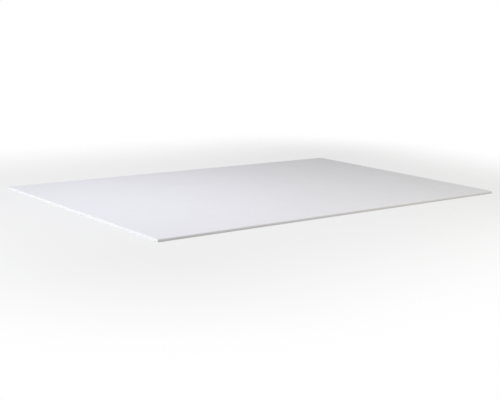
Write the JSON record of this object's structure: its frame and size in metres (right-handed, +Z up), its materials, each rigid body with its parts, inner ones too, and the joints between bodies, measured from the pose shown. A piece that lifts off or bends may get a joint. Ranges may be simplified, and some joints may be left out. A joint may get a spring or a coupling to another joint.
{
  "type": "drywall sheet",
  "caption": "Flat rectangular sheet of gypsum board: paper-faced, with tapered half-round long edges and square-cut ends, lying face up.",
  "frame": {"origin": "middle of the back face, the face that the sheet lies on", "axes": "+X along the sheet between its two sawn ends, +Y across it between its two wrapped edges, +Z up out of the face side"},
  "size_m": [2, 1.25, 0.0125],
  "materials": {
    "face_paper": "matte"
  },
  "bodies": {
    "root": {"drywall_sheet": "face_paper"}
  },
  "joints": []
}
